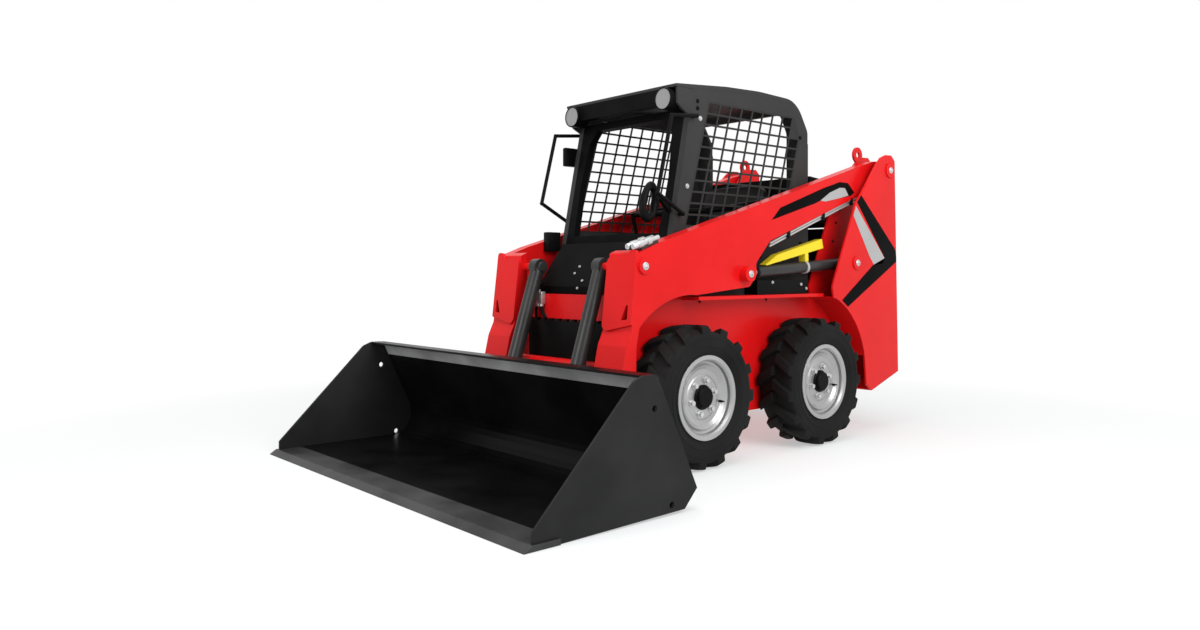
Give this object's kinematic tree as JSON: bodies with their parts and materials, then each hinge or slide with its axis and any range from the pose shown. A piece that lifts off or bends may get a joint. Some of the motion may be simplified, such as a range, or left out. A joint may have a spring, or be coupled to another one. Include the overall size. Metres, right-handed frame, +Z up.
{
  "type": "skid steer loader",
  "caption": "Compact wheeled loader with a caged cab, two radial lift arms hinged on rear uprights, hydraulic cylinders and a wide front bucket.",
  "frame": {"origin": "on the ground, midway along the whole length and width", "axes": "+Z up, front and bucket towards -Y, the machine's left side towards +X"},
  "size_m": [2.182, 3.197, 1.9135],
  "materials": {
    "red_paint": "gloss",
    "black_paint": "satin",
    "cab_charcoal": "satin",
    "mesh_black": "satin",
    "bucket_black": "satin, worn",
    "bucket_side_grey": "dusty satin",
    "worn_steel": "worn",
    "chrome_rod": "polished",
    "lamp_grey": "clear over reflector",
    "seat_vinyl": "grained vinyl",
    "lock_yellow": "gloss",
    "engine_iron": "matte",
    "tyre_rubber": "matte",
    "rim_silver": "gloss"
  },
  "bodies": {
    "chassis": {"frame_side_left": "red_paint", "frame_side_right": "red_paint", "belly_pan": "red_paint", "front_plate": "red_paint", "rear_bumper": "red_paint", "tower_left": "red_paint", "tower_right": "red_paint", "step_plate": "black_paint", "side_boxes": "black_paint", "hood": "black_paint", "footwell": "black_paint", "visor": "black_paint", "grab_handles": "black_paint", "control_levers": "black_paint", "cab_floor": "cab_charcoal", "cab_side_left": "cab_charcoal", "cab_side_right": "cab_charcoal", "cab_front": "cab_charcoal", "cab_rear": "cab_charcoal", "cab_roof": "cab_charcoal", "seat_box": "cab_charcoal", "mesh_left": "mesh_black", "mesh_right": "mesh_black", "axles": "worn_steel", "lamps": "lamp_grey", "seat_base": "seat_vinyl", "seat_back": "seat_vinyl", "engine_block": "engine_iron"},
    "lift_arm": {"arm_left": "red_paint", "arm_right": "red_paint", "arm_cross_tube": "red_paint", "coupler_block": "worn_steel"},
    "bucket": {"hitch": "black_paint", "bucket_shell": "bucket_black", "bucket_sides": "bucket_side_grey", "cutting_edge": "worn_steel"},
    "lift_barrels": {"lift_barrels": "black_paint", "arm_lock": "lock_yellow"},
    "lift_rods": {"lift_rods": "chrome_rod"},
    "tilt_barrels": {"tilt_barrels": "black_paint"},
    "tilt_rods": {"tilt_rods": "chrome_rod"},
    "rear_door": {"rear_door": "black_paint"},
    "restraint_bar": {"restraint_bar": "black_paint"},
    "wheel_front_left": {"tyre_front_left": "tyre_rubber", "rim_front_left": "rim_silver"},
    "wheel_front_right": {"tyre_front_right": "tyre_rubber", "rim_front_right": "rim_silver"},
    "wheel_rear_left": {"tyre_rear_left": "tyre_rubber", "rim_rear_left": "rim_silver"},
    "wheel_rear_right": {"tyre_rear_right": "tyre_rubber", "rim_rear_right": "rim_silver"}
  },
  "joints": [
    {"name": "lift", "type": "hinge", "parent": "chassis", "child": "lift_arm", "pos_m": [0, 1.5005, 1.548], "axis": [-1, 0, 0], "range_deg": [0, 62]},
    {"name": "bucket_tilt", "type": "hinge", "parent": "lift_arm", "child": "bucket", "pos_m": [0, -0.6445, 0.17], "axis": [1, 0, 0], "range_deg": [-28, 102]},
    {"name": "lift_barrel", "type": "hinge", "parent": "chassis", "child": "lift_barrels", "pos_m": [0, 1.1475, 0.99], "axis": [-1, 0, 0], "range_deg": [-1, 66]},
    {"name": "lift_rod", "type": "slide", "parent": "lift_barrels", "child": "lift_rods", "axis": [0, -0.9978, -0.0657], "range_m": [-0.01, 0.69]},
    {"name": "tilt_barrel", "type": "hinge", "parent": "lift_arm", "child": "tilt_barrels", "pos_m": [0, -0.5095, 0.965], "axis": [1, 0, 0], "range_deg": [-1, 2]},
    {"name": "tilt_rod", "type": "slide", "parent": "tilt_barrels", "child": "tilt_rods", "axis": [0, -0.3029, -0.953], "range_m": [-0.08, 0.265]},
    {"name": "rear_door", "type": "hinge", "parent": "chassis", "child": "rear_door", "pos_m": [-0.414, 1.5795, 0.343], "axis": [0, 0, 1], "range_deg": [0, 100]},
    {"name": "restraint_bar", "type": "hinge", "parent": "chassis", "child": "restraint_bar", "pos_m": [0, 0.7205, 1.344], "axis": [-1, 0, 0], "range_deg": [0, 80]},
    {"name": "wheel_front_left", "type": "hinge", "parent": "chassis", "child": "wheel_front_left", "pos_m": [0.552, -0.1895, 0.343], "axis": [1, 0, 0], "continuous": true},
    {"name": "wheel_front_right", "type": "hinge", "parent": "chassis", "child": "wheel_front_right", "pos_m": [-0.552, -0.1895, 0.343], "axis": [1, 0, 0], "continuous": true},
    {"name": "wheel_rear_left", "type": "hinge", "parent": "chassis", "child": "wheel_rear_left", "pos_m": [0.552, 0.7605, 0.343], "axis": [1, 0, 0], "continuous": true},
    {"name": "wheel_rear_right", "type": "hinge", "parent": "chassis", "child": "wheel_rear_right", "pos_m": [-0.552, 0.7605, 0.343], "axis": [1, 0, 0], "continuous": true}
  ],
  "couplings": [
    {"joint": "lift_barrel", "follows": "lift", "ratio": 1.0343},
    {"joint": "lift_rod", "follows": "lift", "m_per_rad": 0.6271},
    {"joint": "tilt_barrel", "follows": "bucket_tilt", "ratio": 0.009851},
    {"joint": "tilt_rod", "follows": "bucket_tilt", "m_per_rad": 0.14431}
  ]
}
